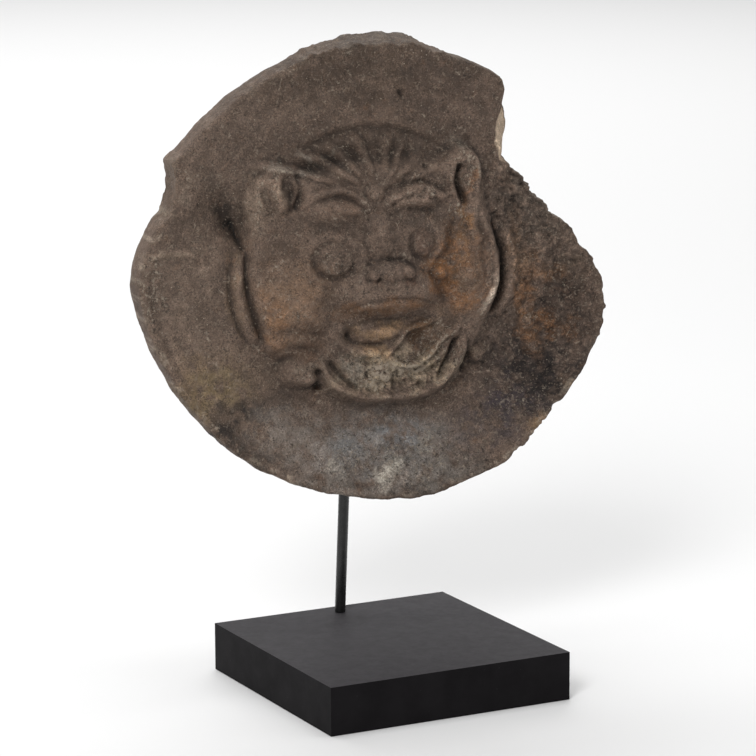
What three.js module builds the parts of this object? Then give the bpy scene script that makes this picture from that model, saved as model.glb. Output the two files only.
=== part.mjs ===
// Broken roof end tile with a beast mask, held on a display stand.
// Millimetres, +Z up. The origin is the centre of the base block's underside,
// and the base block's front faces -Y.
import * as THREE from 'three';

// ---------- driving dimensions ----------
const BASE_SIDE = 120;
const BASE_HEIGHT = 22;
const ROD_DIAMETER = 5;
const ROD_FROM_BACK_EDGE = 10;
const ROD_LEAN = 2.25;            // degrees, towards the tile's right
const ROD_LENGTH = 158;
const TOUCH_GAP = 0.3;            // left between pieces that touch
const TILE_THICKNESS = 15;
const TILE_TURN = 12;             // degrees, the tile's turn about the upright
const TILE_CENTRE_HEIGHT = 187.8;
const TILE_CENTRE_SIDE = 9.5;     // from the rod's foot, along the tile
const EDGE_ROUND = 2.2;           // rounding of the tile's front and back edges
const MASK_RADIUS = 70;           // the finely divided middle of the tile
const DISH_DEPTH = 2.4;           // the rim stands this far above the flange's foot
const DISH_WIDTH = 38;
const DETAIL_OVERHANG = 12;       // no relief lies further out than this past the mask

// ---------- fineness of the tile's mesh ----------
const SECTORS = 126;
const MASK_RINGS = 26;
const FLANGE_RINGS = 4;
const BACK_RINGS = 3;

// The back edge, as angle in degrees and radius: a worn circle of about 107 mm,
// bitten by two notches on the left and broken away on the right.
const OUTLINE = [
  [-6, 114.8], [1, 106], [8, 99], [15, 90], [21, 86.5], [27, 85], [33, 81.5], [37, 85], [41, 92.5],
  [44, 97], [47, 99.5], [50.5, 105], [54, 107], [62, 105.3], [72, 105], [79, 107], [86, 107],
  [93, 105.4], [104, 102.8], [118, 101.2], [132, 101.8], [144, 103.3], [150, 104.6], [154, 100.6],
  [161, 98.2], [167, 102.2], [174, 105.8], [182, 108.6], [188, 107.6], [198, 106], [214, 104.8],
  [230, 104.9], [246, 105.2], [260, 106.3], [272, 108.6], [284, 111.8], [298, 113.4], [308, 116.8],
  [314, 117.8], [319, 115.4], [325, 114.6], [334, 115.6], [345, 115.8],
];

// How far the front edge stands inside the back edge: the slanting break at the
// upper right, the chipped crown and the chip at the lower right.
const FRONT_INSETS = [
  [-12, 1.4], [-4, 2.6], [10, 0.8], [20, 1.6], [30, 1.2], [36, 3.5], [39, 10], [42, 14.5], [45.5, 14],
  [48, 11], [50.5, 6], [54, 1], [66, 0.8], [74, 2], [82, 4.3], [92, 3.8], [101, 1.8], [110, 0.8],
  [150, 0.6], [158, 1.6], [166, 0.8], [206, 0.6], [228, 1.2], [264, 0.5], [292, 0.8], [304, 1.6],
  [309, 5], [316, 5.5], [322, 3.5], [327, 1],
];

// ---------- shaping functions ----------
const radians = THREE.MathUtils.degToRad;
const clamp01 = (t) => Math.min(Math.max(t, 0), 1);

function smoothStep(t) {
  const c = clamp01(t);
  return c * c * (3 - 2 * c);
}

// A smooth curve through control points, as a list of [x, y]
function curveThrough(points, closed = false, steps = 5) {
  const controls = points.map(([x, y]) => new THREE.Vector3(x, y, 0));
  const curve = new THREE.CatmullRomCurve3(controls, closed, 'catmullrom', 0.5);
  return curve.getPoints(steps * points.length).map((p) => [p.x, p.y]);
}

// Distance from (x, y) to a line of points, and the share of the line passed there
function nearest(x, y, line) {
  let distance = Infinity;
  let share = 0;
  for (let i = 0; i + 1 < line.length; i += 1) {
    const [ax, ay] = line[i];
    const dx = line[i + 1][0] - ax;
    const dy = line[i + 1][1] - ay;
    const t = clamp01(((x - ax) * dx + (y - ay) * dy) / (dx * dx + dy * dy));
    const d = Math.hypot(x - ax - t * dx, y - ay - t * dy);
    if (d < distance) {
      distance = d;
      share = (i + t) / (line.length - 1);
    }
  }
  return { distance, share };
}

function isInside(x, y, ring) {
  let inside = false;
  for (let i = 0; i + 1 < ring.length; i += 1) {
    const [ax, ay] = ring[i];
    const [bx, by] = ring[i + 1];
    if ((ay > y) !== (by > y) && x < ((bx - ax) * (y - ay)) / (by - ay) + ax) inside = !inside;
  }
  return inside;
}

// A rounded rise: `power` under 1 makes its flanks steep, over 1 soft
function dome(centreX, centreY, radiusX, radiusY, height, turn = 0, power = 0.6) {
  const cos = Math.cos(radians(turn));
  const sin = Math.sin(radians(turn));
  return (x, y) => {
    const a = ((x - centreX) * cos + (y - centreY) * sin) / radiusX;
    const b = (-(x - centreX) * sin + (y - centreY) * cos) / radiusY;
    return height * clamp01(1 - a * a - b * b) ** power;
  };
}

// A rounded ridge along a curve, dying away at both ends
function ridge(points, halfWidth, height) {
  const line = curveThrough(points);
  return (x, y) => {
    const { distance, share } = nearest(x, y, line);
    const ends = smoothStep(share / 0.15 + 0.15) * smoothStep((1 - share) / 0.15 + 0.15);
    return height * clamp01(1 - (distance / halfWidth) ** 2) ** 1.5 * ends;
  };
}

// A level rise inside a closed outline, sloping off over `slope`
function plateau(points, slope, height) {
  const ring = curveThrough(points, true);
  return (x, y) => {
    const { distance } = nearest(x, y, ring);
    const depth = isInside(x, y, ring) ? distance : -distance;
    return height * smoothStep(depth / slope + 0.5);
  };
}

// A raised ring around an eye
function ringRidge(centreX, centreY, radiusX, radiusY, halfWidth, height) {
  return (x, y) => {
    const across = (Math.hypot((x - centreX) / radiusX, (y - centreY) / radiusY) - 1);
    const distance = across * (radiusX + radiusY) * 0.5;
    return height * clamp01(1 - (distance / halfWidth) ** 2) ** 1.5;
  };
}

// The higher of two heights, with their crossing filled to a fillet
function smoothMax(a, b, fillet) {
  const share = clamp01(0.5 + (0.5 * (a - b)) / fillet);
  return b * (1 - share) + a * share + fillet * share * (1 - share);
}

// ---------- the mask, in the tile's own plane: x to the right, y up ----------
const headPlateau = plateau([
  [-58, 26], [-59, 4], [-57, -14], [-50, -34], [-40, -39], [-29, -46], [-12, -60], [4, -62.5],
  [20, -61.5], [42, -47], [54, -25], [61, -2], [57, 20], [51, 46], [42, 55], [12, 50], [-28, 45],
  [-50, 46.5], [-57, 40],
], 10, 10.5);

// Rounded masses, joined with fillets from the largest to the smallest
const MASSES = [
  [dome(1, 2, 57, 53, 17.5, 0, 0.8), 3],          // the whole face
  [dome(-37, -11, 19, 24, 19.6, 20, 0.5), 5],     // left cheek
  [dome(44, -3, 17, 25, 17.6, 10, 0.5), 5],       // right cheek
  [dome(42, -2.5, 9.5, 8.5, 20.3, 0, 0.45), 3],   // ball on the right cheek
  [dome(30, -1, 6, 5, 18.6), 3],                  // swirl beside it
  [dome(4, -8, 30, 14.5, 24.3, -1, 0.45), 4],     // muzzle
  [dome(5, 1, 14, 7.2, 25.8, -2, 0.5), 4],        // nose
  [dome(2, 16, 9, 17, 19.8, 2, 0.7), 6],          // bridge of the nose
  [dome(-17, 28, 21, 9.5, 17.6, -4), 4],          // left brow
  [dome(-14, 29.6, 13, 4.6, 19.8, -10), 2.5],     // its swelling
  [dome(19, 33, 16, 6, 16.8, 0, 0.5), 3],         // right brow
  [dome(-42.5, 37.3, 10.6, 12.2, 14.5, 8, 0.4), 3],   // left ear
  [dome(-53, 33, 7, 11, 9.5), 3],                 // shoulder beside it
  [dome(42.2, 42, 9.6, 13.5, 15, -8, 0.4), 3],    // right ear
  [dome(5, -44, 27, 17, 13), 2],                  // chin and beard
  [dome(-32, -44.5, 11, 9, 11.8, 25), 4],         // knob at the beard's left end
  [dome(51, -41, 5.5, 5, 7.5), 2],                // knob at the beard's right end
];

// Raised and sunk detail, added on top; a height below zero is a groove
const DETAILS = [
  // brows
  ridge([[-38, 28], [-31, 34], [-23, 37], [-15, 38], [-7, 33.5], [-1, 27]], 3.2, 1.8),
  ridge([[-27, 33], [-20, 34.6], [-13, 34.6], [-7, 31], [-2.5, 25]], 3.4, -1.4),
  ridge([[4, 30.5], [10, 34.5], [18, 37.5], [25, 36.5], [32, 33]], 3.2, 2.6),
  ridge([[4, 36], [11, 39.5], [20, 41], [29, 38.5], [34, 34]], 3.4, -1.2),
  // boss in the middle of the forehead
  dome(-0.2, 36, 5.2, 5.2, 3.4, 0, 0.6),
  // left ear's hollow and its middle ridge; right ear's slot
  dome(-42, 37, 8.8, 10.4, -5.6, 8, 0.6),
  ridge([[-45, 43], [-43, 37.5], [-39.5, 30]], 3.4, 4.2),
  ridge([[41, 47.5], [39.8, 42], [40.4, 36.5], [42.6, 32], [43.5, 29]], 3.9, -5.5),
  dome(44.6, 40.5, 4.6, 9, -2.4, -8, 0.8),
  ridge([[45.5, 27], [46.5, 20], [49.5, 11]], 3.8, 2.4),
  // furrow between the right eye and the cheek, and the fold beside the muzzle
  ridge([[37.5, 23], [36, 15], [33, 8], [27, 4]], 3.8, -2),
  ridge([[24, 1], [28, -6], [32, -12], [33, -17]], 3.2, -1.4),
  // left side: groove, band and the hollow above them
  ridge([[-57.5, 14], [-58.4, 6], [-58.2, -3], [-56.4, -12], [-53.4, -23], [-50.2, -33]], 3.6, -3.4),
  ridge([[-60, 15], [-61.6, 5], [-61.8, -5], [-60, -16], [-57, -25], [-53.5, -33]], 4.2, 4.4),
  dome(-60.5, 19, 6, 11, -3.5, 0, 1.5),
  // right side: pale edge, groove and band
  ridge([[52, 22], [57, 9], [58.5, -3], [55.5, -12], [50.5, -19]], 3.6, 2),
  ridge([[56.5, 21], [59.8, 13], [62.4, 5], [63, -4], [60.6, -14], [55, -24.5]], 3.6, -3.8),
  ridge([[62, 18], [66, 8], [67.5, -3], [65.5, -13], [60, -23]], 4, 3.6),
  // jaw, lips and tongue
  ridge([[-48, -36.5], [-41, -34.5], [-33, -34], [-24, -36]], 3.6, -1.5),
  ridge([[-26, -20], [-16, -18.5], [-9, -13.5], [0, -11.3], [9, -10.8], [19, -13], [28, -18]], 3.1, -1.2),
  dome(4, -22.5, 22, 4.5, -4, 0, 1),
  dome(2, -26.8, 15, 5.4, 4, 0, 0.6),
  dome(-2, -36.8, 9.5, 4.2, 2, -4, 0.6),
  // the two ridges spreading to the right of the mouth
  ridge([[29, -22.5], [22, -25], [15, -27.5], [10, -34], [4, -39.5]], 3.1, 2.7),
  ridge([[41, -22], [38.5, -27.5], [32, -32], [27.5, -38], [21.5, -42.5], [13, -43.5],
    [6, -39.5]], 3.1, 2.7),
  // beard: slits and the band round the chin
  ridge([[38.8, -31.5], [35, -41.5], [30, -51.5]], 3.1, -3.9),
  ridge([[42, -31], [40.6, -39], [35.5, -49], [27, -56]], 3.6, 3.1),
  ridge([[-21.5, -40], [-15.5, -47.5], [-8, -54.5]], 3.1, -3.6),
  ridge([[-25.5, -39], [-23, -46], [-16.5, -53], [-7, -57]], 3.4, 2.9),
  ridge([[-7, -57], [4, -58], [16, -57.6], [27, -56]], 3.4, 2.4),
  // the sunk arc over the fan, and the fan's locks, each from its outer end in
  ridge([[-37, 52], [-28, 57.5], [-18, 61.5], [-6, 64], [4, 64.5], [15, 62.5], [27, 58],
    [36, 53]], 3.6, -1.4),
  ridge([[-57, 47.5], [-48, 49.5], [-39, 48], [-28, 44.5], [-17, 41]], 3.4, 3.2),
  ridge([[-36, 53], [-28, 52.5], [-21, 49.5], [-13, 44.5], [-6, 40]], 3.2, 3),
  ridge([[-23, 58.5], [-17, 55], [-11, 50], [-5, 42]], 3.2, 2.8),
  ridge([[-10, 61.5], [-5, 57], [-2, 50], [-1, 43]], 3.2, 2.4),
  ridge([[7, 62], [7.5, 55], [5, 45]], 3.2, 2.4),
  ridge([[16.5, 58.5], [12.5, 51], [7, 43]], 3.4, 1.7),
  ridge([[25.5, 54], [18, 48.5], [10, 42.5]], 3.6, 1.9),
  ridge([[32, 49], [25, 45], [14, 40]], 3.4, 1.4),
];

// Each eye: [centre x, centre y, half width, half height, width of its rim]
const EYES = [[-19.4, 6.8, 9.4, 8.3, 2.6], [21.6, 12.8, 5.2, 6.4, 3]];
for (const [x, y, halfWidth, halfHeight, rimWidth] of EYES) {
  DETAILS.push(ringRidge(x, y, halfWidth + rimWidth, halfHeight + rimWidth, rimWidth + 0.8, 1.1));
  DETAILS.push(ringRidge(x, y, halfWidth, halfHeight, 2.4, -1.6));
  DETAILS.push(dome(x, y, halfWidth - 0.6, halfHeight - 0.6, 1.8, 0, 0.7));
}

// Height of the tile's face above the plain flange
function faceHeight(x, y) {
  const fromMiddle = Math.hypot(x, y);
  const dish = DISH_DEPTH * smoothStep((fromMiddle - MASK_RADIUS) / DISH_WIDTH);
  if (fromMiddle > MASK_RADIUS + DETAIL_OVERHANG) return dish;
  let height = smoothMax(0, headPlateau(x, y), 2);
  for (const [mass, fillet] of MASSES) {
    height = smoothMax(height, mass(x, y), fillet);
  }
  for (const detail of DETAILS) {
    height += detail(x, y);
  }
  return height + dish;
}

// ---------- the tile ----------
// A closed run of [angle, value] points, read at any angle
function around(table) {
  const line = curveThrough([...table, [table[0][0] + 360, table[0][1]]], false, 8);
  return (angle) => {
    const turned = ((((angle - line[0][0]) % 360) + 360) % 360) + line[0][0];
    const next = line.findIndex(([start]) => start > turned);
    if (next < 1) return line[0][1];
    const [from, low] = line[next - 1];
    const [to, high] = line[next];
    return low + ((high - low) * (turned - from)) / (to - from);
  };
}

const backRadius = around(OUTLINE);
const frontInset = around(FRONT_INSETS);

// Where the rings of points lie on one spoke, from the middle of the face out
// over the edge to the middle of the back: [distance from the middle, depth]
function spokeProfile(angle) {
  const back = backRadius(angle);
  const front = back - frontInset(angle);
  const faceEdge = front - EDGE_ROUND;
  const profile = [];
  for (let i = 1; i <= MASK_RINGS; i += 1) {
    profile.push([(MASK_RADIUS * i) / MASK_RINGS, 0]);
  }
  for (let i = 1; i <= FLANGE_RINGS; i += 1) {
    profile.push([MASK_RADIUS + ((faceEdge - MASK_RADIUS) * i) / FLANGE_RINGS, 0]);
  }
  profile.push([front, -EDGE_ROUND + DISH_DEPTH * 0.5]);
  profile.push([back, -TILE_THICKNESS + EDGE_ROUND]);
  for (let i = BACK_RINGS; i >= 1; i -= 1) {
    profile.push([((back - EDGE_ROUND) * i) / BACK_RINGS, -TILE_THICKNESS]);
  }
  return profile;
}

// The tile's own axes: x to the right, y to the back, z up, face at y = 0
function tileGeometry() {
  const positions = [0, -faceHeight(0, 0), 0, 0, TILE_THICKNESS, 0];
  const triangles = [];
  const ringCount = MASK_RINGS + FLANGE_RINGS + 2 + BACK_RINGS;
  const faceRings = MASK_RINGS + FLANGE_RINGS;
  for (let sector = 0; sector < SECTORS; sector += 1) {
    const angle = (sector * 360) / SECTORS;
    spokeProfile(angle).forEach(([distance, depth], ring) => {
      const x = distance * Math.cos(radians(angle));
      const z = distance * Math.sin(radians(angle));
      const height = ring < faceRings ? faceHeight(x, z) : depth;
      positions.push(x, -height, z);
    });
  }
  const vertex = (sector, ring) => 2 + (sector % SECTORS) * ringCount + ring;
  for (let sector = 0; sector < SECTORS; sector += 1) {
    triangles.push(0, vertex(sector, 0), vertex(sector + 1, 0));
    triangles.push(1, vertex(sector + 1, ringCount - 1), vertex(sector, ringCount - 1));
    for (let ring = 0; ring + 1 < ringCount; ring += 1) {
      const a = vertex(sector, ring);
      const b = vertex(sector, ring + 1);
      const c = vertex(sector + 1, ring + 1);
      const d = vertex(sector + 1, ring);
      triangles.push(a, b, c, a, c, d);
    }
  }
  const geometry = new THREE.BufferGeometry();
  geometry.setAttribute('position', new THREE.Float32BufferAttribute(positions, 3));
  geometry.setIndex(triangles);
  geometry.computeVertexNormals();
  return geometry;
}

const firedClay = new THREE.MeshStandardMaterial({ color: 0x5f564b, roughness: 0.92, metalness: 0 });
const blackSteel = new THREE.MeshStandardMaterial({ color: 0x121212, roughness: 0.3, metalness: 0.4 });
const blackPaint = new THREE.MeshStandardMaterial({ color: 0x161617, roughness: 0.55, metalness: 0 });

// ---------- the stand ----------
function makeBase() {
  const geometry = new THREE.BoxGeometry(BASE_SIDE, BASE_SIDE, BASE_HEIGHT);
  const base = new THREE.Mesh(geometry, blackPaint);
  base.name = 'base_block';
  base.position.z = BASE_HEIGHT / 2;
  return base;
}

// The rod's foot stands on the base, and the tile is set out from there
const stand = new THREE.Group();
stand.position.set(0, BASE_SIDE / 2 - ROD_FROM_BACK_EDGE, BASE_HEIGHT);
stand.rotation.z = -radians(TILE_TURN);

function makeRod() {
  const geometry = new THREE.CylinderGeometry(ROD_DIAMETER / 2, ROD_DIAMETER / 2, ROD_LENGTH, 24);
  geometry.rotateX(Math.PI / 2);
  geometry.translate(0, 0, ROD_LENGTH / 2);
  const rod = new THREE.Mesh(geometry, blackSteel);
  rod.name = 'support_rod';
  rod.position.z = TOUCH_GAP + (ROD_DIAMETER / 2) * Math.sin(radians(ROD_LEAN));
  rod.rotation.y = radians(ROD_LEAN);
  return rod;
}

function makeTile() {
  const tile = new THREE.Mesh(tileGeometry(), firedClay);
  tile.name = 'tile';
  const faceFromRod = ROD_DIAMETER / 2 + TOUCH_GAP + TILE_THICKNESS;
  tile.position.set(TILE_CENTRE_SIDE, -faceFromRod, TILE_CENTRE_HEIGHT - BASE_HEIGHT);
  return tile;
}

stand.add(makeRod(), makeTile());

const part = new THREE.Group();
part.add(makeBase(), stand);

export default part;
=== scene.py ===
"""Roof end tile with a beast mask on its display stand: the looks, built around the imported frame.

Lengths in the tile's own plane are in millimetres: x to the right, y up, height out of the face.
The tile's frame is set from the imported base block, and everything becomes metres in place().
"""

import math

import bpy
import numpy as np
from mathutils import Matrix, Vector


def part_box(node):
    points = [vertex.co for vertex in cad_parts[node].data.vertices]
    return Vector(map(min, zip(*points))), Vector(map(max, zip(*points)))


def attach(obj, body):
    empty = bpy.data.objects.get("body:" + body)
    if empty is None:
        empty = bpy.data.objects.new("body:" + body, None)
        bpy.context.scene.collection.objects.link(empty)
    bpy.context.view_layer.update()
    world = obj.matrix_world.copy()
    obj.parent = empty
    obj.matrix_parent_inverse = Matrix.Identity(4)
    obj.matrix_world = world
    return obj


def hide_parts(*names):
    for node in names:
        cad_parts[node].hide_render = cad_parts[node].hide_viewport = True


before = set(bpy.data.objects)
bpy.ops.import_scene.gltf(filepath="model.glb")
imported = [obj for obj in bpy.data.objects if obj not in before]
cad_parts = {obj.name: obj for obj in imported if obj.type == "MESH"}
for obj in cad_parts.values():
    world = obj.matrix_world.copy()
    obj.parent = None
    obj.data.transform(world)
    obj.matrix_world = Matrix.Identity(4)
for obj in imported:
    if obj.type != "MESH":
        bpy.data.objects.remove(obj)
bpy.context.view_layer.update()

# ---------------------------------------------------------------- driving sizes
MM = 0.001
BASE_LOW, BASE_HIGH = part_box("base_block")
BASE_SIDE = (BASE_HIGH.x - BASE_LOW.x) / MM
BASE_HEIGHT = (BASE_HIGH.z - BASE_LOW.z) / MM
ROD_RADIUS = 2.5
ROD_FROM_BACK_EDGE = 10.0
TOUCH_GAP = 0.3
TILE_THICKNESS = 15.0
TILE_TURN = math.radians(12.0)
TILE_CENTRE_SIDE = 9.5
TILE_CENTRE_HEIGHT = 187.8

# The tile's three directions and the middle of its face, in the row frame
RIGHT = np.array([math.cos(TILE_TURN), -math.sin(TILE_TURN), 0.0])
OUT = np.array([-math.sin(TILE_TURN), -math.cos(TILE_TURN), 0.0])
UP = np.array([0.0, 0.0, 1.0])
ROD_FOOT = np.array([0.0, BASE_SIDE / 2 - ROD_FROM_BACK_EDGE, BASE_HEIGHT])
FACE_FROM_ROD = ROD_RADIUS + TOUCH_GAP + TILE_THICKNESS
FACE_CENTRE = (ROD_FOOT + RIGHT * TILE_CENTRE_SIDE + OUT * FACE_FROM_ROD
               + UP * (TILE_CENTRE_HEIGHT - BASE_HEIGHT))


def place(x, y, height):
    """Points in the tile's plane and their heights, as row-frame points in metres."""
    across = np.multiply.outer(np.asarray(x, float), RIGHT)
    upward = np.multiply.outer(np.asarray(y, float), UP)
    outward = np.multiply.outer(np.asarray(height, float), OUT)
    return (FACE_CENTRE + across + upward + outward) * MM


# ---------------------------------------------------------------- shaping tools
GRID_STEP = 0.5
GRID_REACH = 124.0
AXIS = np.arange(-GRID_REACH, GRID_REACH + GRID_STEP / 2, GRID_STEP)
X, Y = np.meshgrid(AXIS, AXIS)


def smooth_step(t):
    t = np.clip(t, 0.0, 1.0)
    return t * t * (3 - 2 * t)


def curve_through(points, closed=False, steps=6):
    """A Catmull-Rom curve through the points."""
    p = np.asarray(points, float)
    if closed:
        p = np.vstack([p[-1], p, p[0], p[1]])
    else:
        p = np.vstack([2 * p[0] - p[1], p, 2 * p[-1] - p[-2]])
    line = []
    for before, start, end, after in zip(p, p[1:], p[2:], p[3:]):
        for t in np.arange(steps) / steps:
            line.append(0.5 * (2 * start + (end - before) * t
                               + (2 * before - 5 * start + 4 * end - after) * t ** 2
                               + (3 * start - before - 3 * end + after) * t ** 3))
    line.append(p[-2])
    return np.array(line)


def nearest(x, y, line):
    """Distance to a line of points, and the share of its length passed there."""
    lengths = np.hypot(*np.diff(line, axis=0).T)
    starts = np.concatenate([[0.0], np.cumsum(lengths)])
    best = np.full(x.shape, np.inf)
    share = np.zeros(x.shape)
    for (ax, ay), (bx, by), length, start in zip(line, line[1:], lengths, starts):
        dx, dy = bx - ax, by - ay
        t = np.clip(((x - ax) * dx + (y - ay) * dy) / max(length ** 2, 1e-9), 0.0, 1.0)
        distance = np.hypot(x - ax - t * dx, y - ay - t * dy)
        closer = distance < best
        best = np.where(closer, distance, best)
        share = np.where(closer, (start + t * length) / starts[-1], share)
    return best, share


def inside(x, y, ring):
    result = np.zeros(x.shape, bool)
    for (ax, ay), (bx, by) in zip(ring, ring[1:]):
        if ay == by:
            continue
        crosses = (ay > y) != (by > y)
        result ^= crosses & (x < (bx - ax) * (y - ay) / (by - ay) + ax)
    return result


def dome(cx, cy, rx, ry, height, turn=0.0, power=0.6):
    """A rounded rise; power under 1 makes its flanks steep, over 1 soft."""
    c, s = math.cos(math.radians(turn)), math.sin(math.radians(turn))
    a = ((X - cx) * c + (Y - cy) * s) / rx
    b = (-(X - cx) * s + (Y - cy) * c) / ry
    return height * np.clip(1 - a * a - b * b, 0.0, 1.0) ** power


def hump(cx, cy, rx, ry, height, turn=0.0):
    """A soft rise with no edge."""
    c, s = math.cos(math.radians(turn)), math.sin(math.radians(turn))
    a = ((X - cx) * c + (Y - cy) * s) / rx
    b = (-(X - cx) * s + (Y - cy) * c) / ry
    return height * np.exp(-a * a - b * b)


def ridge(points, half_width, height, ends=0.15, thinning=0.0):
    """A rounded ridge along a curve, dying away at both ends; below zero it is a groove.

    thinning is the share of its width that it loses from the first point to the last.
    """
    line = curve_through(points)
    result = np.zeros(X.shape)
    reach = half_width * (1 + abs(thinning))
    low = ((line.min(0) - reach + GRID_REACH) / GRID_STEP).astype(int)
    high = ((line.max(0) + reach + GRID_REACH) / GRID_STEP).astype(int) + 2
    window = (slice(max(low[1], 0), high[1]), slice(max(low[0], 0), high[0]))
    distance, share = nearest(X[window], Y[window], line)
    across = distance / (half_width * (1 - thinning * share))
    rounded = np.clip(1 - across ** 2, 0.0, 1.0) ** 1.5
    sharp = np.clip(1 - across, 0.0, 1.0) ** 1.2
    profile = rounded if height > 0 else sharp
    fade = smooth_step(share / ends + 0.15) * smooth_step((1 - share) / ends + 0.15)
    result[window] = height * profile * fade
    return result


def plateau(points, slope, height):
    """A level rise inside a closed outline, sloping off over slope."""
    ring = curve_through(points, closed=True)
    distance, _ = nearest(X, Y, ring)
    depth = np.where(inside(X, Y, ring), distance, -distance)
    return height * smooth_step(depth / slope + 0.5)


def ring_ridge(cx, cy, rx, ry, half_width, height):
    across = (np.hypot((X - cx) / rx, (Y - cy) / ry) - 1) * (rx + ry) / 2
    return height * np.clip(1 - (across / half_width) ** 2, 0.0, 1.0) ** 1.5


def smooth_max(a, b, fillet):
    share = np.clip(0.5 + 0.5 * (a - b) / fillet, 0.0, 1.0)
    return b * (1 - share) + a * share + fillet * share * (1 - share)


def blurred(values, radius):
    """Gaussian blur of a grid; radius in millimetres."""
    rows = np.fft.fftfreq(values.shape[0], GRID_STEP)[:, None]
    columns = np.fft.rfftfreq(values.shape[1], GRID_STEP)[None, :]
    keep = np.exp(-2 * (math.pi * radius) ** 2 * (rows ** 2 + columns ** 2))
    return np.fft.irfft2(np.fft.rfft2(values) * keep, values.shape)


def noise(x, y, size, seed):
    """Smooth value noise from -1 to 1, with lumps of about size."""
    table = np.random.default_rng(seed).uniform(-1, 1, (64, 64))
    u, v = x / size + 512.0, y / size + 512.0
    i, j = np.floor(u).astype(int), np.floor(v).astype(int)
    s, t = smooth_step(u - i), smooth_step(v - j)
    low = table[i % 64, j % 64] * (1 - s) + table[(i + 1) % 64, j % 64] * s
    high = table[i % 64, (j + 1) % 64] * (1 - s) + table[(i + 1) % 64, (j + 1) % 64] * s
    return low * (1 - t) + high * t


def layered(x, y, size, seed, octaves=4, fade=0.5):
    total = np.zeros(np.shape(x))
    for octave in range(octaves):
        total = total + noise(x, y, size * 0.5 ** octave, seed + octave) * fade ** octave
    return total


def sample(grid, x, y):
    """The grid's value at any point, between its four neighbours."""
    u = np.clip((x + GRID_REACH) / GRID_STEP, 0, len(AXIS) - 1.001)
    v = np.clip((y + GRID_REACH) / GRID_STEP, 0, len(AXIS) - 1.001)
    i, j = u.astype(int), v.astype(int)
    s, t = u - i, v - j
    low = grid[j, i] * (1 - s) + grid[j, i + 1] * s
    high = grid[j + 1, i] * (1 - s) + grid[j + 1, i + 1] * s
    return low * (1 - t) + high * t


def around(table, angles, steps=8):
    """A smooth closed run of (angle, value) points, read at the angles."""
    line = curve_through(table + [(table[0][0] + 360, table[0][1])], steps=steps)
    turned = (angles - line[0][0]) % 360 + line[0][0]
    return np.interp(turned, line[:, 0], line[:, 1])


# ---------------------------------------------------------------- the mask's relief
# The back edge of the tile, as angle and radius: a worn circle of about 107 mm,
# bitten by two notches on the left and broken away on the right
OUTLINE = [
    (-6, 114.8), (1, 106), (8, 99), (15, 90), (21, 86.5), (27, 85), (33, 81.5), (37, 85), (41, 92.5),
    (44, 97), (47, 99.5), (50.5, 105), (54, 107), (62, 105.3), (72, 105), (79, 107), (86, 107), (93, 105.4),
    (104, 102.8), (118, 101.2), (132, 101.8), (144, 103.3), (150, 104.6), (154, 100.6), (161, 98.2),
    (167, 102.2), (174, 105.8), (182, 108.6), (188, 107.6), (198, 106), (214, 104.8), (230, 104.9),
    (246, 105.2), (260, 106.3), (272, 108.6), (284, 111.8), (298, 113.4), (308, 116.8), (314, 117.8),
    (319, 115.4), (325, 114.6), (334, 115.6), (345, 115.8),
]
HEAD_OUTLINE = [
    (-58, 26), (-59, 8), (-58.5, -4), (-57, -14), (-54, -24), (-50, -34), (-44, -38.5), (-34, -39),
    (-29, -46), (-22, -55), (-12, -60), (4, -62.5), (20, -61.5), (32, -57), (42, -47), (48, -37),
    (54, -25), (59, -14), (61, -2), (60, 8), (57, 20), (53, 34), (51, 46), (42, 55), (31, 51),
    (12, 50), (-10, 50), (-28, 45), (-40, 45.5), (-50, 46.5), (-57, 40),
]
HEAD_SLOPE = 10.0
# Eyes as centre x, y, half width, half height of the groove round the ball, and rim width
EYES = [(-19.4, 6.8, 9.4, 8.3, 2.6), (22.0, 12.8, 6.0, 7.0, 3.0)]
FAN_ARC = [(-37, 52), (-28, 57.5), (-18, 61.5), (-6, 64), (4, 64.5), (15, 62.5), (27, 58), (36, 53)]
# The locks of the fan, each from its outer end in: points, half width, height
LOCKS = [
    ([(-57, 47.5), (-48, 49.5), (-39, 48), (-28, 44.5), (-17, 41)], 3.4, 3.4),
    ([(-36, 53), (-28, 52.5), (-21, 49.5), (-13, 44.5), (-6, 40)], 4.2, 3.4),
    ([(-23, 58.5), (-17, 55), (-11, 50), (-5, 42)], 4.6, 3.2),
    ([(-10, 61.5), (-5, 57), (-2, 50), (-1, 43)], 4.6, 2.8),
    ([(7, 62), (7.5, 55), (5, 45)], 4.6, 2.6),
    ([(16.5, 58.5), (12.5, 51), (7, 43)], 2.8, 2.0),
    ([(25.5, 54), (18, 48.5), (10, 42.5)], 3.4, 2.4),
    ([(32, 49), (25, 45), (14, 40)], 3.0, 1.8),
]


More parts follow.
